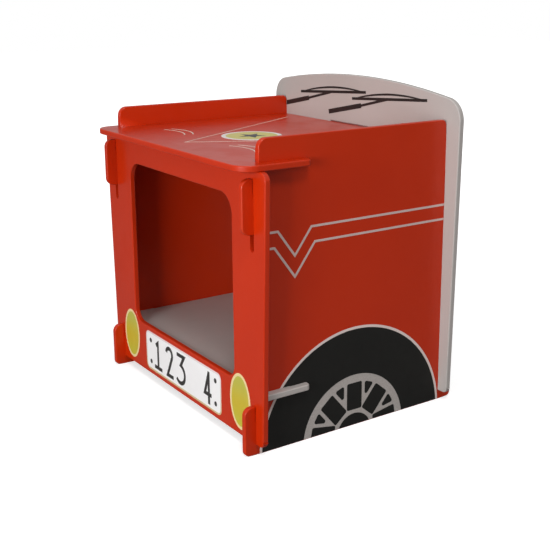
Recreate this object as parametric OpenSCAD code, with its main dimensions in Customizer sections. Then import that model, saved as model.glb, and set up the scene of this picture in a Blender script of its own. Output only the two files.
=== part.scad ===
// Child's bedside cabinet in the shape of a toy car.
// Six painted boards slot together: the two sides stand on the floor and carry
// hook-shaped heads, the front and back boards drop onto the hooks, and the top
// and the shelf slide in from the front. Thin transfers give the car its lamps,
// number plate, stripes, wheels, bonnet lines and wipers.
// Millimetres, +Z up, front towards -Y, origin on the floor under the middle.

/* [Boards] */
// Thickness of every board
board = 9; // [6:0.5:12]
// Width over the outer faces of the two sides
body_w = 440; // [360:5:520]
// Clear depth between the front board and the back board
body_d = 336; // [280:4:400]
// Height of the top's upper surface
top_z = 418; // [348:1:510]
// Height of the rails, the sides' top edges, above the top
rail_h = 33; // [26:1:60]
// Height of the shelf's upper surface
shelf_z = 91; // [86:1:130]
// Height of the front and back boards' lower edges above the floor
ground_gap = 15; // [8:1:25]

/* [Front board] */
// How far the front board stands out past the sides at its top
front_ear_top = 30; // [25:1:60]
// How far the front board stands out past the sides at its bottom
front_ear_bottom = 18; // [14:1:50]
// Corner radius of the front board's top corners
front_corner_r = 14; // [4:1:24]
// Distance from the window to the inner face of a side
post_w = 49; // [30:1:80]
// Height of the window's sill above the shelf
sill_h = 5; // [0:1:40]
// Distance from the window's upper edge up to the top's underside
lintel_h = 42; // [30:1:90]
// Radius of the window's upper corners
window_top_r = 30; // [10:1:50]
// Radius of the window's lower corners
window_bottom_r = 20; // [8:1:40]

/* [Back board] */
// Height of the back board's crown above the rails
crown_h = 51; // [42:1:90]
// How far the back board stands out past the sides where its shoulders start
back_ear_top = 28; // [23:1:60]
// How far the back board stands out past the sides at its bottom
back_ear_bottom = 19; // [14:1:50]
// Radius of the long arc along the back board's top
crown_r = 1310; // [900:10:2500]
// Radius of the back board's shoulders
shoulder_r = 34; // [15:1:60]

/* [Top and shelf] */
// How far the top overhangs the front board
top_overhang = 27; // [15:1:40]
// How far the top's wings stand out from the sides
top_wing_w = 15; // [8:1:25]
// Radius of the top's front corners
top_corner_r = 28; // [12:1:40]
// How far the shelf's wings stand out from the sides
shelf_wing_w = 12; // [6:1:18]
// Length of the slots that take the top and the shelf
wing_slot_d = 49; // [25:1:80]
// How far the wings reach back past the end of their slots
wing_hook_d = 28; // [10:1:40]
// Width of the rear tongues of the top and of the shelf
tongue_w = 152; // [80:4:220]
// How far a tongue stands out behind the back board
tongue_out = 10; // [0:1:16]

/* [Hook joints] */
// How far the side heads stand out past the front and back boards
head_out = 18; // [12:1:28]
// Height of an upper head
upper_head_h = 77; // [50:1:100]
// Gap between an upper head and the top's underside
upper_head_gap = 11; // [2:1:60]
// Gap between a lower head and the shelf's underside
lower_head_gap = 9; // [2:1:20]
// How far the hooks rise above their necks
hook_drop = 22; // [10:1:24]
// Corner radius of the heads
head_r = 12; // [4:1:18]
// Clearance between a tab and its slot, on each side
fit = 0.3; // [0.2:0.05:0.8]

/* [Rails] */
// Radius of the rails' front corners
rail_front_r = 14; // [4:1:28]
// Radius of the rails' rear corners
rail_rear_r = 8; // [3:1:20]

/* [Transfers] */
// Thickness of a transfer
film = 0.2; // [0.1:0.05:0.25]
// Margin between a side transfer and the floor or the back board
joint_margin = 0.5; // [0.3:0.1:2]

/* [Wheels] */
// Outer radius of the pale wheel arch line
arch_r = 170; // [130:1:171]
// Width of the pale wheel arch line
arch_line_w = 4; // [2:0.5:8]
// Outer radius of the wheel
wheel_r = 94; // [70:1:110]
// Width of the wheel's outer ring
wheel_ring_w = 12; // [8:1:20]
// Outer radius of the hub ring
hub_r = 37; // [25:1:45]
// Width of the hub ring
hub_ring_w = 5; // [3:1:10]
// Number of spoke windows round the wheel
spoke_count = 9; // [7:1:9]
// Width of a spoke window
spoke_window_w = 28; // [18:1:32]
// Thickness of a spoke's two legs
spoke_leg_w = 5.5; // [2:0.5:6]
// Depth of the wheel's centre below the floor line
wheel_sink = 13; // [0:1:30]

/* [Stripes] */
// Distance from the top's underside down to the upper stripe
stripe_drop = 88.5; // [40:0.5:100]
// Distance from the upper stripe down to the lower stripe
stripe_pitch = 22.5; // [12:0.5:40]
// Width of a stripe
stripe_w = 3.4; // [2:0.2:8]
// Depth of the upper stripe's notch
notch_upper = 38; // [20:1:60]
// Depth of the lower stripe's notch
notch_lower = 46; // [20:1:70]
// Distance from the front board to the notch's point
notch_y = 58; // [45:1:120]

/* [Lamps and plate] */
// Gap between a lamp and the inner face of a side
lamp_side_gap = 5; // [3:1:16]
// Width of a lamp
lamp_w = 56; // [30:1:60]
// Height of a lamp
lamp_h = 86; // [50:1:92]
// Height of the lamps' middles
lamp_z = 66; // [60:1:70]
// Width of the pale lamp rim
lamp_rim_w = 4.5; // [2:0.5:8]
// Gap between the number plate and a lamp
plate_lamp_gap = 26; // [18:1:50]
// Height of the number plate
plate_h = 67; // [50:1:70]
// Height of the number plate's middle
plate_z = 55.5; // [54:0.5:57]
// Corner radius of the number plate
plate_r = 10; // [4:1:16]
// Width of the plate's pale border
plate_border_w = 3; // [1:0.5:5]
// Height of the plate's digits
digit_h = 53; // [30:1:56]
// Distance from the plate's ends to the first and last digit
digit_margin = 29; // [24:1:50]
// Width of a digit's strokes
digit_stroke = 6.5; // [3:0.5:7]
// Radius of the plate's bolt spots
bolt_r = 4; // [2:0.5:6]

/* [Bonnet] */
// Radius of the round badge
badge_r = 48; // [30:1:60]
// Width of the badge's white border
badge_border_w = 7; // [3:0.5:10]
// Radius of the star's points
star_r = 24; // [12:1:34]
// Distance from the front board to the badge's middle
badge_y = 136; // [110:1:200]
// Width of the bonnet lines
line_w = 2.2; // [1:0.2:4]
// Distance from the front board to the creases' meeting point
crease_start_y = 18; // [10:1:40]
// Distance from the creases' rear ends to the back board
crease_rear_gap = 31; // [10:1:80]
// Distance between the creases' rear ends
crease_spread = 324; // [200:2:380]

/* [Wipers] */
// Distance between the two wipers, on a body of the width they are drawn for
wiper_pitch = 151; // [130:1:160]
// Length of a wiper blade
blade_l = 184; // [120:1:190]
// Rise of a blade's bow above its bar
blade_rise = 9.5; // [6:0.5:14]
// Height of the blades' middles above the rails
wiper_h = 18; // [14:1:20]

/* [Hidden] */
$fn = 96;

// Cut depth and overlap used wherever one shape has to run past another
past = 1;
// Depth of the whole cabinet, and the front face of the front board
whole_d = top_overhang + board + body_d + board + head_out;
front_y = -whole_d / 2 + top_overhang;
// Planes that the boards meet on
side_front_y = front_y + board;
side_rear_y = side_front_y + body_d;
back_rear_y = side_rear_y + board;
side_out_x = body_w / 2;
side_in_x = side_out_x - board;
top_under_z = top_z - board;
shelf_under_z = shelf_z - board;
rail_top = top_z + rail_h;
back_h = rail_top + crown_h;
// Window
window_w = 2 * (side_in_x - post_w);
window_bottom = shelf_z + sill_h;
window_top = top_under_z - lintel_h;
// Hook joints, the necks carry the front and back boards
upper_head_top = top_under_z - upper_head_gap;
upper_head_z = upper_head_top - upper_head_h;
upper_neck_top = upper_head_top - hook_drop;
upper_slot_spare = 3;
upper_slot_z = upper_neck_top - upper_head_h - upper_slot_spare;
lower_head_h = shelf_under_z - lower_head_gap;
lower_neck_top = lower_head_h - hook_drop;
lower_corner_r = 8;
// The top's tongue keeps a shadow gap above it
tongue_gap = 1.2;
tongue_r = 6;
wing_end_r = 6;
// Wheel centre, just ahead of half way along the side
wheel_ahead = 2;
wheel_y = side_front_y + body_d / 2 - wheel_ahead;
// Corner radius of the wheel's windows
window_r = 3;
// The stripes start behind the front board, and their notches are wider than deep
stripe_z = top_under_z - stripe_drop;
stripe_start_y = 14;
notch_slope = 0.74;
// Lamps and number plate share the front board's lower rail
lamp_x = side_in_x - lamp_side_gap - lamp_w / 2;
plate_w = 2 * (lamp_x - lamp_w / 2 - plate_lamp_gap);
// The digits, their gaps and the wide gap share the room between the plate's margins
digits_w = plate_w - 2 * digit_margin;
digit_w = digits_w * 0.142;
digit_gap = digits_w * 0.068;
group_gap = digits_w - 4 * digit_w - 2 * digit_gap;
// The wipers are drawn for a body this wide, and keep their place on any other
wiper_drawn_w = 440;
wiper_z = rail_top + wiper_h;
// Colours
RED = [0.72, 0.15, 0.07];
SILVER = [0.70, 0.66, 0.65];
CREAM = [0.94, 0.88, 0.78];
WHITE = [0.93, 0.93, 0.92];
BLACK = [0.07, 0.06, 0.05];
LAMP_YELLOW = [0.76, 0.70, 0.22];
RIM_GREY = [0.62, 0.59, 0.57];

// ---- drawing planes ----
// A flat outline in X and Z, laid on plane y and grown forwards by depth
module facing_front(y, depth) {
    translate([0, y, 0]) rotate([90, 0, 0]) linear_extrude(depth) children();
}
// A flat outline in Y and Z, laid on plane x and grown outwards by depth
module facing_right(x, depth) {
    translate([x, 0, 0]) rotate([90, 0, 90]) linear_extrude(depth) children();
}
module left_and_right() {
    children();
    mirror([1, 0, 0]) children();
}
module left_and_right_flat() {
    children();
    mirror([1, 0]) children();
}

// ---- flat shapes ----
// The waste outside a round corner at [x, y]; sx and sy are 1 or -1 and point out of the corner
module corner_waste(x, y, r, sx, sy) {
    translate([x, y]) mirror([sx < 0 ? 1 : 0, 0]) mirror([0, sy < 0 ? 1 : 0])
        translate([-r, -r]) difference() {
            square(r + past);
            circle(r);
        }
}
// A rectangle from [x0, y0] to [x1, y1] with its own radius for the low and the high corners
module soft_rect(x0, y0, x1, y1, r_low, r_high) {
    difference() {
        translate([x0, y0]) square([x1 - x0, y1 - y0]);
        corner_waste(x0, y0, r_low, -1, -1);
        corner_waste(x1, y0, r_low, 1, -1);
        corner_waste(x0, y1, r_high, -1, 1);
        corner_waste(x1, y1, r_high, 1, 1);
    }
}
module ellipse_shape(w, h) {
    steps = 72;
    polygon([for (i = [0:steps - 1]) [w / 2 * cos(i * 360 / steps), h / 2 * sin(i * 360 / steps)]]);
}
// Points along an arc
function arc_points(center, r, from, to, steps) =
    [for (i = [0:steps]) let (a = from + (to - from) * i / steps) center + r * [cos(a), sin(a)]];
// Unit vector to the left of the way from one point to the next
function left_of(from, to) = [from[1] - to[1], to[0] - from[0]] / norm(to - from);
// How far a corner of a line's edge lies from the line's own corner, for half a width of 1
function mitre(points, i) =
    let (last = len(points) - 1,
        before = left_of(points[max(i, 1) - 1], points[max(i, 1)]),
        after = left_of(points[min(i, last - 1)], points[min(i, last - 1) + 1]))
    (before + after) / (1 + before * after);
// A line along a list of points, with mitred corners and flat ends
module line(points, w) {
    last = len(points) - 1;
    polygon(concat(
        [for (i = [0:last]) points[i] - w / 2 * mitre(points, i)],
        [for (i = [last:-1:0]) points[i] + w / 2 * mitre(points, i)]));
}

// ---- hook joints, shared by all four upright boards ----
// Height range of the slots that the heads pass through
module hook_slots() {
    for (side = [-1, 1]) {
        slot_x = side > 0 ? side_in_x - fit : -side_out_x - fit;
        slot_w = board + 2 * fit;
        // Closed slot of the upper head, round at its lower end
        translate([slot_x, upper_slot_z + slot_w / 2])
            square([slot_w, upper_neck_top - upper_slot_z - slot_w / 2]);
        translate([slot_x + slot_w / 2, upper_slot_z + slot_w / 2]) circle(slot_w / 2);
        // Open slot of the lower head
        translate([slot_x, ground_gap - past]) square([slot_w, lower_neck_top - ground_gap + past]);
    }
}
// Heads and necks at one end of a side, drawn towards -y from the board's edge at y
module hook_heads(y) {
    head_y = y - board - head_out;
    // Upper head and its neck
    difference() {
        translate([head_y, upper_head_z]) square([head_out, upper_head_h]);
        corner_waste(head_y, upper_head_z, head_r, -1, -1);
        corner_waste(head_y, upper_head_top, head_r, -1, 1);
    }
    translate([head_y + head_out - past, upper_head_z])
        square([board + 2 * past, upper_neck_top - upper_head_z]);
    // Lower head and its neck, down to the floor
    difference() {
        translate([head_y, 0]) square([head_out, lower_head_h]);
        corner_waste(head_y, 0, lower_corner_r, -1, -1);
        corner_waste(head_y, lower_head_h, head_r, -1, 1);
    }
    translate([head_y + head_out - past, 0]) square([board + 2 * past, lower_neck_top]);
}

// ---- boards ----
module side_outline() {
    difference() {
        union() {
            translate([side_front_y, 0]) square([body_d, rail_top]);
            hook_heads(side_front_y);
            translate([side_front_y + side_rear_y, 0]) mirror([1, 0]) hook_heads(side_front_y);
        }
        corner_waste(side_front_y, rail_top, rail_front_r, -1, 1);
        corner_waste(side_rear_y, rail_top, rail_rear_r, 1, 1);
        wing_slots();
    }
}
// Slots that take the top and the shelf, open at the front edge
module wing_slots() {
    for (low = [top_under_z, shelf_under_z])
        translate([side_front_y - past, low]) square([wing_slot_d + past, board]);
}
module side_panel() {
    color(RED) facing_right(side_in_x, board) side_outline();
}
module right_side_panel() {
    side_panel();
}
module left_side_panel() {
    mirror([1, 0, 0]) side_panel();
}

module front_panel() {
    low = side_out_x + front_ear_bottom;
    high = side_out_x + front_ear_top;
    color(RED) facing_front(side_front_y, board) difference() {
        polygon([[-low, ground_gap], [low, ground_gap], [high, top_under_z], [-high, top_under_z]]);
        left_and_right_flat() {
            corner_waste(high, top_under_z, front_corner_r, 1, 1);
            corner_waste(low, ground_gap, lower_corner_r, 1, -1);
        }
        soft_rect(-window_w / 2, window_bottom, window_w / 2, window_top,
            window_bottom_r, window_top_r);
        hook_slots();
    }
}

module back_outline() {
    low = side_out_x + back_ear_bottom;
    high = side_out_x + back_ear_top;
    crown = [0, back_h - crown_r];
    // The shoulders run smoothly into the crown, where the line through both middles meets it
    shoulder_x = high - shoulder_r;
    shoulder_rise = sqrt(pow(crown_r - shoulder_r, 2) - pow(shoulder_x, 2));
    shoulder = crown + [shoulder_x, shoulder_rise];
    meet = atan2(shoulder_rise, shoulder_x);
    shoulder_steps = 16;
    crown_steps = 40;
    difference() {
        polygon(concat(
            [[low, ground_gap]],
            arc_points(shoulder, shoulder_r, 0, meet, shoulder_steps),
            arc_points(crown, crown_r, meet, 180 - meet, crown_steps),
            arc_points([-shoulder[0], shoulder[1]], shoulder_r, 180 - meet, 180, shoulder_steps),
            [[-low, ground_gap]]));
        left_and_right_flat() corner_waste(low, ground_gap, lower_corner_r, 1, -1);
        hook_slots();
        // Slots of the two rear tongues; the shelf's is deeper so that the board can drop
        tongue_half = tongue_w / 2 + fit;
        translate([-tongue_half, top_under_z]) square([2 * tongue_half, board + tongue_gap]);
        translate([-tongue_half, shelf_under_z - hook_drop])
            square([2 * tongue_half, board + hook_drop]);
    }
}
module back_panel() {
    color(SILVER) facing_front(back_rear_y, board) back_outline();
}

// The parts that the top and the shelf share: body, notches for the sides, wings, tongue
module sliding_outline(front_edge_y, wing_w) {
    half = side_out_x + wing_w;
    slot_end_y = side_front_y + wing_slot_d;
    wing_end_y = slot_end_y + wing_hook_d;
    body_half = side_in_x - fit;
    // Front band, as wide as the wings, which runs through both side slots
    translate([-half, front_edge_y]) square([2 * half, slot_end_y - front_edge_y]);
    // Wings that hook behind the end of the slots
    left_and_right_flat() difference() {
        translate([side_out_x + fit, slot_end_y - past])
            square([wing_w - fit, wing_hook_d + past]);
        corner_waste(half, wing_end_y, wing_end_r, 1, 1);
    }
    // Body between the sides
    translate([-body_half, slot_end_y - past]) square([2 * body_half, side_rear_y - slot_end_y + past]);
    // Rear tongue through the back board
    tongue_end = back_rear_y + tongue_out;
    difference() {
        translate([-tongue_w / 2, side_rear_y - past])
            square([tongue_w, tongue_end - side_rear_y + past]);
        left_and_right_flat() corner_waste(tongue_w / 2, tongue_end, tongue_r, 1, 1);
    }
}
module top_panel() {
    front_edge = front_y - top_overhang;
    color(RED) translate([0, 0, top_under_z]) linear_extrude(board) difference() {
        sliding_outline(front_edge, top_wing_w);
        left_and_right_flat()
            corner_waste(side_out_x + top_wing_w, front_edge, top_corner_r, 1, -1);
    }
}
module lower_shelf() {
    color(SILVER) translate([0, 0, shelf_under_z]) linear_extrude(board)
        sliding_outline(side_front_y, shelf_wing_w);
}

// ---- front transfers ----
module on_front() {
    facing_front(front_y, film) children();
}
module lamp_places() {
    for (side = [-1, 1]) translate([side * lamp_x, lamp_z]) children();
}
module headlamp_rims() {
    color(CREAM) on_front() lamp_places() difference() {
        ellipse_shape(lamp_w, lamp_h);
        ellipse_shape(lamp_w - 2 * lamp_rim_w, lamp_h - 2 * lamp_rim_w);
    }
}
module headlamp_lenses() {
    color(LAMP_YELLOW) on_front() lamp_places()
        ellipse_shape(lamp_w - 2 * lamp_rim_w, lamp_h - 2 * lamp_rim_w);
}
module plate_shape(inset) {
    half_w = plate_w / 2 - inset;
    half_h = plate_h / 2 - inset;
    translate([0, plate_z]) soft_rect(-half_w, -half_h, half_w, half_h, plate_r - inset, plate_r - inset);
}
module number_plate_border() {
    color(CREAM) on_front() difference() {
        plate_shape(0);
        plate_shape(plate_border_w);
    }
}
// One digit in a box digit_w wide and digit_h high, its lower left corner at the origin
module digit(value) {
    low = digit_stroke / 2;
    right = digit_w - low;
    top = digit_h - low;
    middle = digit_w / 2;
    bowl_r = right - middle;
    steps = 14;
    if (value == 1) {
        line([[middle - bowl_r * 0.7, digit_h * 0.78], [middle, top - low], [middle, low]], digit_stroke);
        line([[0, low], [digit_w, low]], digit_stroke);
    }
    if (value == 2) {
        line(concat(arc_points([middle, top - bowl_r], bowl_r, 170, -35, steps),
            [[low * 2, low], [digit_w, low]]), digit_stroke);
    }
    if (value == 3) {
        // The flat top runs down to the waist, and the belly's arc starts there
        belly_r = digit_h * 0.29;
        line(concat([[0, top], [right, top]],
            arc_points([middle - low, low + belly_r], belly_r, 80, -140, steps)), digit_stroke);
    }
    if (value == 4) {
        stem_x = digit_w * 0.7;
        bar_z = digit_h * 0.3;
        line([[stem_x, top], [low * 2, bar_z], [digit_w, bar_z]], digit_stroke);
        line([[stem_x, digit_h], [stem_x, 0]], digit_stroke);
    }
}
module plate_digits() {
    translate([-digits_w / 2, plate_z - digit_h / 2]) {
        for (i = [0:2]) translate([i * (digit_w + digit_gap), 0]) digit(i + 1);
        translate([digits_w - digit_w, 0]) digit(4);
    }
}
module plate_bolts() {
    bolt_inset_x = 17;
    bolt_inset_z = 15;
    bolt_x = plate_w / 2 - bolt_inset_x;
    bolt_z = plate_h / 2 - bolt_inset_z;
    for (sx = [-1, 1], sz = [-1, 1]) translate([sx * bolt_x, plate_z + sz * bolt_z]) circle(bolt_r);
}
module number_plate_face() {
    color(WHITE) on_front() difference() {
        plate_shape(plate_border_w);
        plate_digits();
        plate_bolts();
    }
}
module number_plate_digits() {
    color(BLACK) on_front() plate_digits();
}
module number_plate_bolts() {
    color(BLACK) on_front() plate_bolts();
}

// ---- bonnet transfers, on the top board ----
module on_top() {
    translate([0, 0, top_z]) linear_extrude(film) children();
}
module bonnet_creases() {
    rear = [crease_spread / 2, side_rear_y - crease_rear_gap];
    color(CREAM) on_top() difference() {
        line([[-rear[0], rear[1]], [0, front_y + crease_start_y], rear], line_w);
        translate([0, front_y + badge_y]) circle(badge_r + line_w);
    }
}
module bonnet_vents() {
    vent_chord = 72;
    vent_rise = 10;
    vent_pitch = 15;
    vent_x = 105;
    vent_y = 54;
    vent_r = (pow(vent_chord / 2, 2) + pow(vent_rise, 2)) / (2 * vent_rise);
    half_angle = asin(vent_chord / 2 / vent_r);
    steps = 20;
    color(CREAM) on_top() left_and_right_flat() for (row = [0, 1])
        line(arc_points([vent_x, front_y + vent_y + row * vent_pitch + vent_rise - vent_r], vent_r,
            90 - half_angle, 90 + half_angle, steps), line_w);
}
module at_badge() {
    on_top() translate([0, front_y + badge_y]) children();
}
module star_shape() {
    points = 5;
    waist = 0.42;
    polygon([for (i = [0:2 * points - 1]) let (r = i % 2 == 0 ? star_r : star_r * waist)
        r * [sin(i * 180 / points), -cos(i * 180 / points)]]);
}
module badge_border() {
    color(WHITE) at_badge() difference() {
        circle(badge_r);
        circle(badge_r - badge_border_w);
    }
}
module badge_field() {
    color(LAMP_YELLOW) at_badge() difference() {
        circle(badge_r - badge_border_w);
        star_shape();
    }
}
module badge_star() {
    color(BLACK) at_badge() star_shape();
}

// ---- wipers, on the back board ----
// Blade with a straight bar below and a thin bow above, then arm and thick arm root
module wiper_shape() {
    bar_w = 4.6;
    bow_w = 3.4;
    arm_w = 4.2;
    root_w = 8;
    blade_tilt = 4;
    half = blade_l / 2;
    arm_end = [-72, -17];
    root_end = [-160, -35];
    bow_r = (half * half + blade_rise * blade_rise) / (2 * blade_rise);
    inner_rise = blade_rise - bow_w;
    inner_half = half * 0.9;
    bite = 0.2;
    inner_r = (inner_half * inner_half + inner_rise * inner_rise) / (2 * inner_rise);
    rotate(blade_tilt) {
        difference() {
            intersection() {
                translate([0, blade_rise - bow_r]) circle(bow_r, $fn = 360);
                translate([-half, 0]) square([2 * half, blade_rise]);
            }
            intersection() {
                translate([0, inner_rise - inner_r]) circle(inner_r, $fn = 360);
                translate([-inner_half, bar_w / 2 - bite]) square([2 * inner_half, blade_rise]);
            }
        }
        line([[-half - bar_w / 2, 0], [half + bar_w / 2, 0]], bar_w);
    }
    line([[0, 0], arm_end], arm_w);
    // The arm's root starts a little inside the arm
    line([arm_end * 0.96, root_end], root_w);
}
module wiper(side) {
    middle_x = 5;
    drawn = body_w / wiper_drawn_w;
    color(BLACK) facing_front(side_rear_y, film) difference() {
        translate([drawn * (middle_x + side * wiper_pitch / 2), wiper_z]) scale(drawn) wiper_shape();
        translate([-side_out_x - fit, 0]) square([board + 2 * fit, rail_top + fit]);
    }
}
module left_wiper() {
    wiper(-1);
}
module right_wiper() {
    wiper(1);
}

// ---- side transfers ----
module on_right() {
    facing_right(side_out_x, film) children();
}
// The part of a side's face that a transfer may cover
module side_face() {
    difference() {
        union() {
            translate([side_front_y + fit, joint_margin])
                square([body_d - fit - joint_margin, top_under_z]);
            translate([front_y, joint_margin])
                square([board + past, ground_gap - joint_margin - fit]);
        }
        wing_slots();
    }
}
module at_wheel() {
    translate([wheel_y, -wheel_sink]) children();
}
module stripe_line(z, notch) {
    half_notch = notch * notch_slope;
    point_y = side_front_y + notch_y;
    line([[side_front_y + stripe_start_y, z], [point_y - half_notch, z], [point_y, z - notch],
        [point_y + half_notch, z], [side_rear_y - joint_margin, z]], stripe_w);
}
module stripes() {
    color(RIM_GREY) on_right() {
        stripe_line(stripe_z, notch_upper);
        stripe_line(stripe_z - stripe_pitch, notch_lower);
    }
}
module wheel_arch_line() {
    color(CREAM) on_right() intersection() {
        side_face();
        at_wheel() difference() {
            circle(arch_r);
            circle(arch_r - arch_line_w);
        }
    }
}
// Ring, hub ring and forked spokes: a disc with round-cornered windows cut through it
module wheel_shape() {
    turn = 360 / spoke_count;
    inner = wheel_r - wheel_ring_w;
    hub_gap = 1;
    // The corner arcs just touch the ring's inner edge
    window_end = window_r + sqrt(pow(inner - window_r, 2) - pow(spoke_window_w / 2 - window_r, 2));
    difference() {
        circle(wheel_r);
        circle(hub_r - hub_ring_w);
        for (i = [0:spoke_count - 1]) rotate(90 + i * turn) {
            // Straight-sided window between two spokes
            translate([0, -spoke_window_w / 2])
                soft_rect(hub_r + hub_gap, 0, window_end, spoke_window_w, window_r, window_r);
            // Three-cornered window inside a spoke's fork
            rotate(turn / 2) fork_window(turn / 2, inner);
        }
    }
}
// The gap between a fork's two legs, which run beside the windows on either hand
module fork_window(half_turn, inner) {
    from_window = spoke_window_w / 2 + spoke_leg_w + window_r;
    spread = half_turn - asin(from_window / (inner - window_r));
    steps = 8;
    inner_corner = [from_window / sin(half_turn), 0];
    lower_corner = (inner - window_r) * [cos(spread), -sin(spread)];
    upper_corner = (inner - window_r) * [cos(spread), sin(spread)];
    polygon(concat(
        arc_points(inner_corner, window_r, 90 + half_turn, 270 - half_turn, steps),
        arc_points(lower_corner, window_r, 270 - half_turn, 360 - spread, steps),
        arc_points(upper_corner, window_r, spread, 90 + half_turn, steps)));
}
module wheel() {
    color(RIM_GREY) on_right() intersection() {
        side_face();
        at_wheel() wheel_shape();
    }
}
module tyre() {
    color(BLACK) on_right() intersection() {
        side_face();
        at_wheel() difference() {
            circle(arch_r - arch_line_w);
            wheel_shape();
        }
    }
}
module right_stripes() {
    stripes();
}
module left_stripes() {
    mirror([1, 0, 0]) stripes();
}
module right_wheel_arch_line() {
    wheel_arch_line();
}
module left_wheel_arch_line() {
    mirror([1, 0, 0]) wheel_arch_line();
}
module right_tyre() {
    tyre();
}
module left_tyre() {
    mirror([1, 0, 0]) tyre();
}
module right_wheel() {
    wheel();
}
module left_wheel() {
    mirror([1, 0, 0]) wheel();
}

front_panel();
back_panel();
left_side_panel();
right_side_panel();
top_panel();
lower_shelf();
headlamp_rims();
headlamp_lenses();
number_plate_border();
number_plate_face();
number_plate_digits();
number_plate_bolts();
bonnet_creases();
bonnet_vents();
badge_border();
badge_field();
badge_star();
left_wiper();
right_wiper();
left_stripes();
right_stripes();
left_wheel_arch_line();
right_wheel_arch_line();
left_tyre();
right_tyre();
left_wheel();
right_wheel();
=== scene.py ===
import math
import bmesh
import bpy
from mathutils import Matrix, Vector


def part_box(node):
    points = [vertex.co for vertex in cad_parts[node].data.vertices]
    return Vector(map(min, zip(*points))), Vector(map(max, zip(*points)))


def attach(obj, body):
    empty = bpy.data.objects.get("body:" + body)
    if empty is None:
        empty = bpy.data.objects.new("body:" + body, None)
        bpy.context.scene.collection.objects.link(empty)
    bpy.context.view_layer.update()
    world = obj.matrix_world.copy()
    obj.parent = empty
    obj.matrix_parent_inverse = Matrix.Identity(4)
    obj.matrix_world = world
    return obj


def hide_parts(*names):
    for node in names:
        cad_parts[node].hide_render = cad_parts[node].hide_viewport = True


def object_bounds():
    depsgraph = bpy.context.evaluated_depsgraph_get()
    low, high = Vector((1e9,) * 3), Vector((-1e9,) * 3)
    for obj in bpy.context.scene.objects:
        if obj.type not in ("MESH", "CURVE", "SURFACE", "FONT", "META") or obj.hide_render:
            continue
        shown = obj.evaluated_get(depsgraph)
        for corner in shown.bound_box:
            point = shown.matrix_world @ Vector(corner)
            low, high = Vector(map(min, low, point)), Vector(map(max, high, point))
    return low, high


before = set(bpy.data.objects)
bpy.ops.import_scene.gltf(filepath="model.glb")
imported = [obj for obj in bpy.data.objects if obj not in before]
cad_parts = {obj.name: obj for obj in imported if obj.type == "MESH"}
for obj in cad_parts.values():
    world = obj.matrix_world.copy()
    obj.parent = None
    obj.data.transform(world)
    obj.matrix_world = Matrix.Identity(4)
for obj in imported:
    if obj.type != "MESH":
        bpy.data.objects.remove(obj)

cad_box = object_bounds()

# ---- Studio ----------------------------------------------------------------
# A pale floor under a white sky, lit by soft boxes: a strong low one in front, a
# small high one at the right, and a low wide one behind, which the top mirrors.
# Lengths are metres and angles are degrees.
middle = (cad_box[0] + cad_box[1]) / 2


def direction(azimuth, elevation):
    """Unit vector towards the viewer; azimuth 0 is straight in front of the cabinet."""
    a, e = math.radians(azimuth), math.radians(elevation)
    return Vector((math.sin(a) * math.cos(e), -math.cos(a) * math.cos(e), math.sin(e)))


def aim(thing, azimuth, elevation, distance, target):
    """Adds the thing to the scene, looking at the target from that side."""
    back = direction(azimuth, elevation)
    thing.location = target + back * distance
    thing.rotation_mode = "QUATERNION"
    thing.rotation_quaternion = back.to_track_quat("Z", "Y")
    bpy.context.scene.collection.objects.link(thing)


view_centre = middle + Vector((0.027, 0.042, 0.007))
view_azimuth, view_elevation, view_distance = 55.1, 13.8, 1.603
camera = bpy.data.objects.new("camera", bpy.data.cameras.new("camera"))
camera.data.lens = 64.2
camera.data.sensor_width = 36.0
camera.data.shift_x = -0.05
camera.data.shift_y = -0.08
aim(camera, view_azimuth, view_elevation, view_distance, view_centre)
bpy.context.scene.camera = camera
bpy.context.scene.view_settings.view_transform = "Standard"

SOFT_BOXES = [
    # name, azimuth, elevation, distance, width, height, watts
    ("key_soft_box", 22.0, 10.0, 2.4, 0.9, 0.8, 38.0),
    ("high_soft_box", 68.0, 54.0, 2.4, 0.45, 0.45, 13.0),
    ("rear_soft_box", 232.0, 15.0, 2.8, 2.6, 1.5, 2.6),
]
for name, azimuth, elevation, distance, width, height, watts in SOFT_BOXES:
    light = bpy.data.lights.new(name, "AREA")
    light.shape = "RECTANGLE"
    light.size = width
    light.size_y = height
    light.energy = watts
    soft_box = bpy.data.objects.new(name, light)
    soft_box.visible_camera = False
    aim(soft_box, azimuth, elevation, distance, middle)


def put(tree, kind, inputs=None, **settings):
    """Adds a node. An input given as a socket is linked, and any other value is set."""
    made = tree.nodes.new(kind)
    for key, value in settings.items():
        setattr(made, key, value)
    for key, value in (inputs or {}).items():
        if isinstance(value, bpy.types.NodeSocket):
            tree.links.new(value, made.inputs[key])
        else:
            made.inputs[key].default_value = value
    return made


def empty_material(name):
    """A material with nothing in it, and its node tree."""
    material = bpy.data.materials.new(name)
    material.use_nodes = True
    material.node_tree.nodes.clear()
    return material, material.node_tree


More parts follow.
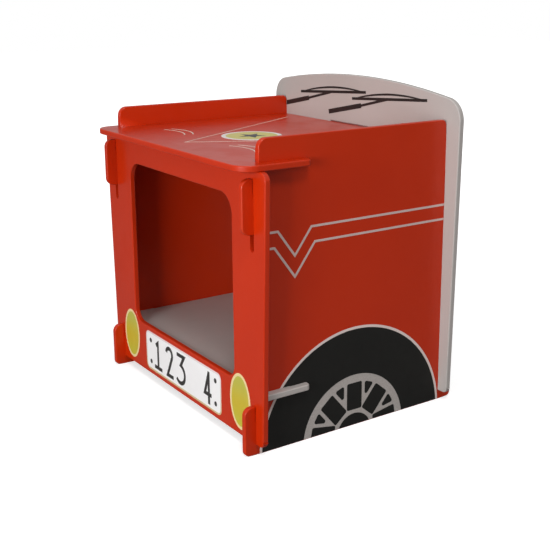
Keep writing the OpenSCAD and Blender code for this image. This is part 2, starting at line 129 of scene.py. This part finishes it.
# The sky is white to look at. As a light it is dimmer, and dimmest at the horizon
SKY_AT_HORIZON, SKY_OVERHEAD, SKY_LOOKED_AT = 0.14, 0.72, 1.0
sky = bpy.data.worlds.new("studio_sky")
bpy.context.scene.world = sky
sky.use_nodes = True
sky.node_tree.nodes.clear()
sky_seen = put(sky.node_tree, "ShaderNodeLightPath").outputs["Is Camera Ray"]
sky_way = put(sky.node_tree, "ShaderNodeTexCoord").outputs["Generated"]
sky_height = put(sky.node_tree, "ShaderNodeSeparateXYZ", {"Vector": sky_way}).outputs["Z"]
sky_dim = put(sky.node_tree, "ShaderNodeMapRange", {
    "Value": sky_height, "To Min": SKY_AT_HORIZON, "To Max": SKY_OVERHEAD})
sky_strength = put(sky.node_tree, "ShaderNodeMapRange", {
    "Value": sky_seen, "To Min": sky_dim.outputs["Result"], "To Max": SKY_LOOKED_AT})
sky_light = put(sky.node_tree, "ShaderNodeBackground",
                {"Color": (1.0, 1.0, 1.0, 1.0), "Strength": sky_strength.outputs["Result"]})
put(sky.node_tree, "ShaderNodeOutputWorld", {"Surface": sky_light.outputs["Background"]})

# The floor is pale to look at and dimmer as a light, like the sky. A glow that grows with the
# distance from the cabinet turns it into the white behind
FLOOR_HALF, FLOOR_STEPS = 9.0, 24
FLOOR_AS_LIGHT, FLOOR_LOOKED_AT = 0.26, 0.78
FLOOR_CLOUD_SCALE, FLOOR_DARKEST, FLOOR_LIGHTEST = 2.5, 0.97, 1.03
GLOW_FROM, GLOW_TO, GLOW_NEAR, GLOW_FAR = 0.4, 2.4, 0.55, 0.88
floor_mesh = bpy.data.meshes.new("floor")
floor_form = bmesh.new()
bmesh.ops.create_grid(floor_form, x_segments=FLOOR_STEPS, y_segments=FLOOR_STEPS, size=FLOOR_HALF)
floor_form.to_mesh(floor_mesh)
floor_form.free()
floor = bpy.data.objects.new("floor", floor_mesh)
bpy.context.scene.collection.objects.link(floor)
floor_paint, tree = empty_material("pale_floor")
floor_place = put(tree, "ShaderNodeTexCoord").outputs["Object"]
floor_cloud = put(tree, "ShaderNodeTexNoise", {
    "Vector": floor_place, "Scale": FLOOR_CLOUD_SCALE, "Detail": 3.0})
floor_tone = put(tree, "ShaderNodeMapRange", {
    "Value": floor_cloud.outputs["Fac"], "To Min": FLOOR_DARKEST, "To Max": FLOOR_LIGHTEST})
floor_seen = put(tree, "ShaderNodeLightPath").outputs["Is Camera Ray"]
floor_shade = put(tree, "ShaderNodeMapRange", {
    "Value": floor_seen, "To Min": FLOOR_AS_LIGHT, "To Max": FLOOR_LOOKED_AT})
floor_grey = put(tree, "ShaderNodeMath", {
    0: floor_tone.outputs["Result"], 1: floor_shade.outputs["Result"]}, operation="MULTIPLY")
floor_distance = put(tree, "ShaderNodeVectorMath", {0: floor_place}, operation="LENGTH")
floor_glow = put(tree, "ShaderNodeMapRange", {
    "Value": floor_distance.outputs["Value"], "From Min": GLOW_FROM, "From Max": GLOW_TO,
    "To Min": GLOW_NEAR, "To Max": GLOW_FAR})
floor_lift = put(tree, "ShaderNodeMath", {
    0: floor_seen, 1: floor_glow.outputs["Result"]}, operation="MULTIPLY")
floor_shader = put(tree, "ShaderNodeBsdfPrincipled", {
    "Base Color": floor_grey.outputs["Value"], "Roughness": 0.9, "Specular IOR Level": 0.1,
    "Emission Color": (1.0, 1.0, 1.0, 1.0), "Emission Strength": floor_lift.outputs["Value"]})
put(tree, "ShaderNodeOutputMaterial", {"Surface": floor_shader.outputs["BSDF"]})
floor_mesh.materials.append(floor_paint)

# ---- Front board -----------------------------------------------------------
# One piece of 9 mm fibreboard with a round-cornered window, sawn out, its arrises
# eased by hand and the whole sprayed red. It drops over the hooks of the two sides.
EASE = 0.0018
SLOT_ROOM = 0.001
SAME_PLACE, SAME_CORNER = 1e-5, 1e-6
CORNER_ANGLE, FLAT_ANGLE = math.radians(35), math.radians(0.5)
side_low, side_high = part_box("right_side_panel")


def in_hook_slot(spot):
    """Where the front and back boards have a slot for a head of a side board."""
    return side_low.x - SLOT_ROOM < abs(spot.x) < side_high.x + SLOT_ROOM


def nowhere(spot):
    """For a board whose edges are eased all round."""
    return False


def eased_board(node, name, square_at=nowhere):
    """The board as it is sawn, in place of the plain solid. Its arrises are rounded over, apart from
    those on the floor and those that run between spots where the edges are left square."""
    mesh = bpy.data.meshes.new(name)
    form = bmesh.new()
    form.from_mesh(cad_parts[node].data)
    bmesh.ops.remove_doubles(form, verts=form.verts, dist=SAME_CORNER)
    bmesh.ops.dissolve_limit(form, angle_limit=FLAT_ANGLE, verts=form.verts, edges=form.edges)
    for face in form.faces:
        face.smooth = True
    weight = form.edges.layers.float.new("bevel_weight_edge")
    for edge in form.edges:
        on_floor = all(v.co.z < SAME_PLACE for v in edge.verts)
        square = on_floor or all(square_at(v.co) for v in edge.verts)
        corner = edge.calc_face_angle() > CORNER_ANGLE
        edge.smooth = not (corner and square)
        edge[weight] = float(corner and not square)
    form.to_mesh(mesh)
    form.free()
    piece = bpy.data.objects.new(name, mesh)
    bpy.context.scene.collection.objects.link(piece)
    rounding = piece.modifiers.new("eased_arrises", "BEVEL")
    rounding.width = EASE
    rounding.segments = 4
    rounding.limit_method = "WEIGHT"
    rounding.use_clamp_overlap = False
    rounding.loop_slide = False
    # The broad faces decide the shading, so that they stay flat up to the arrises
    shading = piece.modifiers.new("flat_faces", "WEIGHTED_NORMAL")
    shading.weight = 100
    shading.keep_sharp = True
    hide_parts(node)
    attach(piece, "root")
    return piece


def new_group(name, inputs, outputs):
    """An empty shader node group with its own inputs and outputs."""
    tree = bpy.data.node_groups.new(name, "ShaderNodeTree")
    for label, kind, value in inputs:
        socket = tree.interface.new_socket(label, in_out="INPUT", socket_type="NodeSocket" + kind)
        socket.default_value = value
    for label, kind in outputs:
        tree.interface.new_socket(label, in_out="OUTPUT", socket_type="NodeSocket" + kind)
    return tree, tree.nodes.new("NodeGroupInput").outputs, tree.nodes.new("NodeGroupOutput").inputs


def maths(tree, operation, a, b=0.0):
    """One sum on two numbers or sockets."""
    return put(tree, "ShaderNodeMath", {0: a, 1: b}, operation=operation).outputs["Value"]


def blend_colour(tree, share, below, above):
    """The colour below where the share is 0, and the one above where it is 1."""
    mixer = tree.nodes.new("ShaderNodeMix")
    mixer.data_type = "RGBA"
    for index, value in ((0, share), (6, below), (7, above)):
        if isinstance(value, bpy.types.NodeSocket):
            tree.links.new(value, mixer.inputs[index])
        else:
            mixer.inputs[index].default_value = value
    return mixer.outputs[2]


def noise(tree, scale, detail, low, high):
    """A cloud pattern fixed to the board, stretched so that low to high runs from 0 to 1."""
    place = put(tree, "ShaderNodeTexCoord").outputs["Object"]
    cloud = put(tree, "ShaderNodeTexNoise", {"Vector": place, "Scale": scale, "Detail": detail})
    spread = put(tree, "ShaderNodeMapRange",
                 {"Value": cloud.outputs["Fac"], "From Min": low, "From Max": high})
    return spread.outputs["Result"]


# Sprayed lacquer: faint clouds in the colour, hand smudges in the gloss, orange peel in the surface
lacquer_group, given, result = new_group(
    "sprayed_lacquer",
    [("Paint", "Color", (0.5, 0.5, 0.5, 1.0)), ("Thin Coat", "Color", (0.5, 0.5, 0.5, 1.0)),
     ("Gloss", "Float", 0.3), ("Smudges", "Float", 0.1), ("Peel Scale", "Float", 180.0)],
    [("Colour", "Color"), ("Roughness", "Float"), ("Height", "Float")])
CLOUD_DEPTH, SPECK_DEPTH = 0.5, 0.16
clouds = noise(lacquer_group, scale=7.0, detail=4.0, low=0.35, high=0.65)
clouds = maths(lacquer_group, "MULTIPLY", clouds, CLOUD_DEPTH)
specks = noise(lacquer_group, scale=650.0, detail=2.0, low=0.45, high=0.7)
specks = maths(lacquer_group, "MULTIPLY", specks, SPECK_DEPTH)
cloudy = blend_colour(lacquer_group, clouds, given["Paint"], given["Thin Coat"])
speckled = blend_colour(lacquer_group, specks, cloudy, given["Thin Coat"])
lacquer_group.links.new(speckled, result["Colour"])
smears = noise(lacquer_group, scale=19.0, detail=6.0, low=0.42, high=0.66)
smears = maths(lacquer_group, "MULTIPLY", smears, given["Smudges"])
lacquer_group.links.new(maths(lacquer_group, "ADD", smears, given["Gloss"]), result["Roughness"])
peel = noise(lacquer_group, scale=given["Peel Scale"], detail=1.5, low=0.2, high=0.8)
lacquer_group.links.new(peel, result["Height"])

# Sawn edges: told from the faces by the board's thin direction, with the rounded arris between them
edge_group, given, result = new_group(
    "sawn_edges", [("Across Board", "Vector", (0.0, 0.0, 1.0))],
    [("Cut Edge", "Float"), ("Arris", "Float")])
STILL_FACE, ALL_EDGE = 0.55, 0.2
HUMP_TO_ONE = 4.0
outward = put(edge_group, "ShaderNodeTexCoord").outputs["Normal"]
facing = put(edge_group, "ShaderNodeVectorMath", {
    0: outward, 1: given["Across Board"]}, operation="DOT_PRODUCT")
square_on = maths(edge_group, "ABSOLUTE", facing.outputs["Value"])
edge_ramp = put(edge_group, "ShaderNodeMapRange", {
    "Value": square_on, "From Min": STILL_FACE, "From Max": ALL_EDGE}, interpolation_type="SMOOTHSTEP")
edge_group.links.new(edge_ramp.outputs["Result"], result["Cut Edge"])
arris_hump = maths(edge_group, "MULTIPLY", square_on, maths(edge_group, "SUBTRACT", 1.0, square_on))
edge_group.links.new(maths(edge_group, "MULTIPLY", arris_hump, HUMP_TO_ONE), result["Arris"])

# Raised fibres: sawn fibreboard drinks the paint and keeps a fine fuzz
fibre_group, given, result = new_group(
    "raised_fibres", [("Scale", "Float", 900.0)], [("Shade", "Float"), ("Height", "Float")])
fuzz = noise(fibre_group, scale=given["Scale"], detail=3.0, low=0.35, high=0.7)
fibre_group.links.new(fuzz, result["Shade"])
fibre_group.links.new(fuzz, result["Height"])

# Painted highlight: broken patches of a paler tone for the rounded arrises, where they would catch the
# light
arris_highlight_group, given, result = new_group(
    "painted_arris_highlight", [("Amount", "Float", 0.3)], [("Mask", "Float")])
highlight_patches = noise(arris_highlight_group, scale=38.0, detail=8.0, low=0.5, high=0.68)
arris_highlight_group.links.new(maths(arris_highlight_group, "MULTIPLY", highlight_patches, given["Amount"]), result["Mask"])

# How much the sawn edges are darkened and dulled, and how far their fuzz stands beside the peel
EDGE_SHADE, EDGE_DULLING, FUZZ_SHARE = 0.45, 0.14, 0.5


def lacquered_board(name, across, paint, thin_coat, highlight_tone, gloss, peel_depth):
    """Lacquer over fibreboard, duller and fibrous on the sawn edges, with a painted highlight in patches
    on the arrises.
    """
    material, tree = empty_material(name)
    lacquer = put(tree, "ShaderNodeGroup", node_tree=lacquer_group)
    lacquer.inputs["Paint"].default_value = (*paint, 1.0)
    lacquer.inputs["Thin Coat"].default_value = (*thin_coat, 1.0)
    lacquer.inputs["Gloss"].default_value = gloss
    edges = put(tree, "ShaderNodeGroup", node_tree=edge_group)
    edges.inputs["Across Board"].default_value = across
    fibres = put(tree, "ShaderNodeGroup", node_tree=fibre_group)
    painted_arris_highlight = put(tree, "ShaderNodeGroup", node_tree=arris_highlight_group)
    dull = maths(tree, "MULTIPLY", edges.outputs["Cut Edge"], fibres.outputs["Shade"])
    edge_tone = blend_colour(tree, maths(tree, "MULTIPLY", dull, EDGE_SHADE),
                             lacquer.outputs["Colour"], (*thin_coat, 1.0))
    # A paler tone in patches on the rounded arrises is painted highlight, where the edges catch the
    # light
    highlight_share = maths(tree, "MULTIPLY", edges.outputs["Arris"], painted_arris_highlight.outputs["Mask"])
    colour = blend_colour(tree, highlight_share, edge_tone, (*highlight_tone, 1.0))
    edge_roughness = maths(tree, "MULTIPLY", edges.outputs["Cut Edge"], EDGE_DULLING)
    roughness = maths(tree, "ADD", lacquer.outputs["Roughness"], edge_roughness)
    edge_fuzz = maths(tree, "MULTIPLY", fibres.outputs["Height"], edges.outputs["Cut Edge"])
    fuzz_height = maths(tree, "MULTIPLY", edge_fuzz, FUZZ_SHARE)
    surface = put(tree, "ShaderNodeBump", {
        "Height": maths(tree, "ADD", lacquer.outputs["Height"], fuzz_height),
        "Strength": 0.5, "Distance": peel_depth})
    shader = put(tree, "ShaderNodeBsdfPrincipled", {
        "Base Color": colour, "Roughness": roughness, "Normal": surface.outputs["Normal"],
        "IOR": 1.36, "Coat Weight": 0.2, "Coat Roughness": 0.14, "Coat IOR": 1.4})
    put(tree, "ShaderNodeOutputMaterial", {"Surface": shader.outputs["BSDF"]})
    return material


# The third colour is the painted highlight on the arrises
RED_PAINT, RED_THIN, RED_HIGHLIGHT = (0.56, 0.027, 0.001), (0.50, 0.022, 0.001), (0.64, 0.09, 0.03)
RED_GLOSS, RED_PEEL = 0.30, 0.00012


def red_lacquer(name, across):
    """Red for a board that is thin along the way across."""
    return lacquered_board(name, across, RED_PAINT, RED_THIN, RED_HIGHLIGHT, RED_GLOSS, RED_PEEL)


front_board = eased_board("front_panel", "front_board", in_hook_slot)
front_board.data.materials.append(red_lacquer("red_lacquer_front", (0.0, 1.0, 0.0)))

# ---- Side boards -----------------------------------------------------------
# Two mirrored boards that stand on the floor and carry everything: their round
# heads pass through the front and back boards, and their top edges are the rails.
# They are sprayed red, and their ends and wing slots are left square.
side_paint = red_lacquer("red_lacquer_sides", (1.0, 0.0, 0.0))
side_ends = (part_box("front_panel")[1].y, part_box("back_panel")[0].y)
wing_heights = [(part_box(node)[0].z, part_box(node)[1].z) for node in ("top_panel", "lower_shelf")]


def at_side_joint(spot):
    """Where a side butts against the front or back board, or has a slot for a wing."""
    at_end = any(abs(spot.y - y) < SAME_PLACE for y in side_ends)
    return at_end or any(low - SLOT_ROOM < spot.z < high + SLOT_ROOM for low, high in wing_heights)


for side in ("left", "right"):
    side_board = eased_board(side + "_side_panel", side + "_side_board", at_side_joint)
    side_board.data.materials.append(side_paint)

# ---- Top board -------------------------------------------------------------
# Slides in from the front between the rails. Its wings stand out past the sides
# and its rear tongue passes through the back board. Sprayed red like the sides.
top_board = eased_board("top_panel", "top_board")
top_board.data.materials.append(red_lacquer("red_lacquer_top", (0.0, 0.0, 1.0)))

# ---- Back board and shelf --------------------------------------------------
# The two silver-grey boards: the back board with its long crown rises behind the
# rails like a windscreen, and the shelf slides in under the window's sill.
# The third colour is the painted highlight on the arrises
SILVER_PAINT, SILVER_THIN, SILVER_HIGHLIGHT = (0.49, 0.455, 0.435), (0.44, 0.405, 0.38), (0.61, 0.57, 0.53)
SILVER_GLOSS, SILVER_PEEL = 0.42, 0.00008


def silver_lacquer(name, across):
    """Silver-grey for a board that is thin along the way across."""
    return lacquered_board(name, across, SILVER_PAINT, SILVER_THIN, SILVER_HIGHLIGHT,
                           SILVER_GLOSS, SILVER_PEEL)


back_board = eased_board("back_panel", "back_board", in_hook_slot)
back_board.data.materials.append(silver_lacquer("silver_lacquer_back", (0.0, 1.0, 0.0)))
shelf_board = eased_board("lower_shelf", "shelf_board")
shelf_board.data.materials.append(silver_lacquer("silver_lacquer_shelf", (0.0, 0.0, 1.0)))

# ---- Headlamps -------------------------------------------------------------
# Two upright oval transfers on the front board: a cream rim round a lens printed
# in a gradient, lime at both ends and golden in the middle. Like the others, they
# are thin film: dotted ink, a little cloudy, with flakes in the silver ones.
film_group, given, result = new_group(
    "printed_film",
    [("Ink", "Color", (0.5, 0.5, 0.5, 1.0)), ("Grain", "Float", 0.1), ("Flakes", "Float", 0.0)],
    [("Colour", "Color"), ("Roughness", "Float"), ("Height", "Float")])
WHITE_FLAKE, PRINT_BLACK = (0.95, 0.93, 0.92, 1.0), (0.0, 0.0, 0.0, 1.0)
FLAKE_SCALE, CLOUD_DULLING = 1100.0, 0.12
print_dots = noise(film_group, scale=1500.0, detail=2.0, low=0.3, high=0.7)
ink_clouds = noise(film_group, scale=30.0, detail=4.0, low=0.35, high=0.65)
print_place = put(film_group, "ShaderNodeTexCoord").outputs["Object"]
flake_cells = put(film_group, "ShaderNodeTexVoronoi", {"Vector": print_place, "Scale": FLAKE_SCALE})
flake_tone = put(film_group, "ShaderNodeSeparateColor", {"Color": flake_cells.outputs["Color"]})
grain = maths(film_group, "ADD", print_dots, ink_clouds)
grain_depth = maths(film_group, "MULTIPLY", grain, given["Grain"])
flake_depth = maths(film_group, "MULTIPLY", flake_tone.outputs["Red"], given["Flakes"])
darkened = blend_colour(film_group, grain_depth, given["Ink"], PRINT_BLACK)
flaked = blend_colour(film_group, flake_depth, darkened, WHITE_FLAKE)
film_group.links.new(flaked, result["Colour"])
film_group.links.new(maths(film_group, "MULTIPLY", ink_clouds, CLOUD_DULLING), result["Roughness"])
film_group.links.new(print_dots, result["Height"])


def film_material(name, ink, grain, roughness, flakes=0.0, metallic=0.0):
    """Ink on thin film. The ink is a colour, or a function that builds one in the material's tree."""
    material, tree = empty_material(name)
    film = put(tree, "ShaderNodeGroup", node_tree=film_group)
    if callable(ink):
        tree.links.new(ink(tree), film.inputs["Ink"])
    else:
        film.inputs["Ink"].default_value = (*ink, 1.0)
    film.inputs["Grain"].default_value = grain
    film.inputs["Flakes"].default_value = flakes
    surface = put(tree, "ShaderNodeBump", {
        "Height": film.outputs["Height"], "Strength": 0.35, "Distance": 0.00003})
    shader = put(tree, "ShaderNodeBsdfPrincipled", {
        "Base Color": film.outputs["Colour"], "Metallic": metallic,
        "Roughness": maths(tree, "ADD", film.outputs["Roughness"], roughness),
        "Normal": surface.outputs["Normal"], "IOR": 1.4})
    put(tree, "ShaderNodeOutputMaterial", {"Surface": shader.outputs["BSDF"]})
    return material


def print_on(material, *nodes):
    """Gives the transfers of these nodes their printed material."""
    for name in nodes:
        for material_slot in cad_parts[name].material_slots:
            material_slot.material = material


def upright_gradient(node, stops):
    """Ink that changes with height over a node, from its lower end to its upper end."""
    low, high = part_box(node)

    def ink(tree):
        place = put(tree, "ShaderNodeTexCoord").outputs["Object"]
        height = put(tree, "ShaderNodeSeparateXYZ", {"Vector": place}).outputs["Z"]
        share = put(tree, "ShaderNodeMapRange", {
            "Value": height, "From Min": low.z, "From Max": high.z})
        ramp = put(tree, "ShaderNodeValToRGB", {"Fac": share.outputs["Result"]})
        ramp.color_ramp.interpolation = "EASE"
        while len(ramp.color_ramp.elements) < len(stops):
            ramp.color_ramp.elements.new(0.5)
        for element, (position, colour) in zip(ramp.color_ramp.elements, stops):
            element.position = position
            element.color = (*colour, 1.0)
        return ramp.outputs["Color"]
    return ink


lens_ink = upright_gradient("headlamp_lenses", [
    (0.0, (0.55, 0.50, 0.045)), (0.42, (0.60, 0.46, 0.035)), (1.0, (0.51, 0.49, 0.08))])
print_on(film_material("lamp_lens_print", lens_ink, grain=0.05, roughness=0.38), "headlamp_lenses")
print_on(film_material("lamp_rim_print", (0.86, 0.68, 0.34), grain=0.05, roughness=0.38),
         "headlamp_rims")

# ---- Number plate ----------------------------------------------------------
# One white transfer with round corners. Its thin border runs from pinkish white
# at the top to straw yellow at the bottom, and it carries plain digits and four bolt spots.
border_ink = upright_gradient("number_plate_border", [
    (0.0, (0.66, 0.52, 0.28)), (0.5, (0.76, 0.66, 0.56)), (1.0, (0.84, 0.72, 0.72))])
print_on(film_material("plate_border_print", border_ink, grain=0.04, roughness=0.36),
         "number_plate_border")
print_on(film_material("plate_face_print", (0.94, 0.925, 0.925), grain=0.03, roughness=0.34),
         "number_plate_face")
print_on(film_material("plate_ink_print", (0.035, 0.032, 0.03), grain=0.08, roughness=0.40),
         "number_plate_digits", "number_plate_bolts")

# ---- Bonnet lines and badge ------------------------------------------------
# Fine cream lines on the top board mark the bonnet's creases and its air vents,
# round a badge of a white ring, a pale yellow field and a plain dark star.
print_on(film_material("bonnet_line_print", (0.78, 0.62, 0.52), grain=0.06, roughness=0.36),
         "bonnet_creases", "bonnet_vents")
print_on(film_material("badge_ring_print", (0.84, 0.83, 0.80), grain=0.04, roughness=0.34),
         "badge_border")
print_on(film_material("badge_field_print", (0.66, 0.60, 0.18), grain=0.05, roughness=0.34),
         "badge_field")
print_on(film_material("badge_star_print", (0.06, 0.07, 0.075), grain=0.08, roughness=0.36),
         "badge_star")

# ---- Wipers ----------------------------------------------------------------
# Two black transfers on the back board, above the top: each is a bow-shaped
# blade on an arm with a thick root.
print_on(film_material("wiper_print", (0.022, 0.018, 0.017), grain=0.10, roughness=0.42),
         "left_wiper", "right_wiper")

# ---- Side stripes and wheels -----------------------------------------------
# Cut from film for each side board: two notched silver stripes, a pinkish wheel
# arch line, a black tyre and a silver wheel with forked spokes.
BOTH_SIDES = ("left_", "right_")
print_on(film_material("stripe_print", (0.74, 0.56, 0.52), grain=0.05, roughness=0.34,
                       flakes=0.22, metallic=0.25),
         *(side + "stripes" for side in BOTH_SIDES))
print_on(film_material("arch_line_print", (0.84, 0.70, 0.66), grain=0.05, roughness=0.38),
         *(side + "wheel_arch_line" for side in BOTH_SIDES))
print_on(film_material("tyre_print", (0.010, 0.0095, 0.008), grain=0.10, roughness=0.46),
         *(side + "tyre" for side in BOTH_SIDES))
print_on(film_material("wheel_print", (0.53, 0.475, 0.44), grain=0.05, roughness=0.34,
                       flakes=0.25, metallic=0.25),
         *(side + "wheel" for side in BOTH_SIDES))
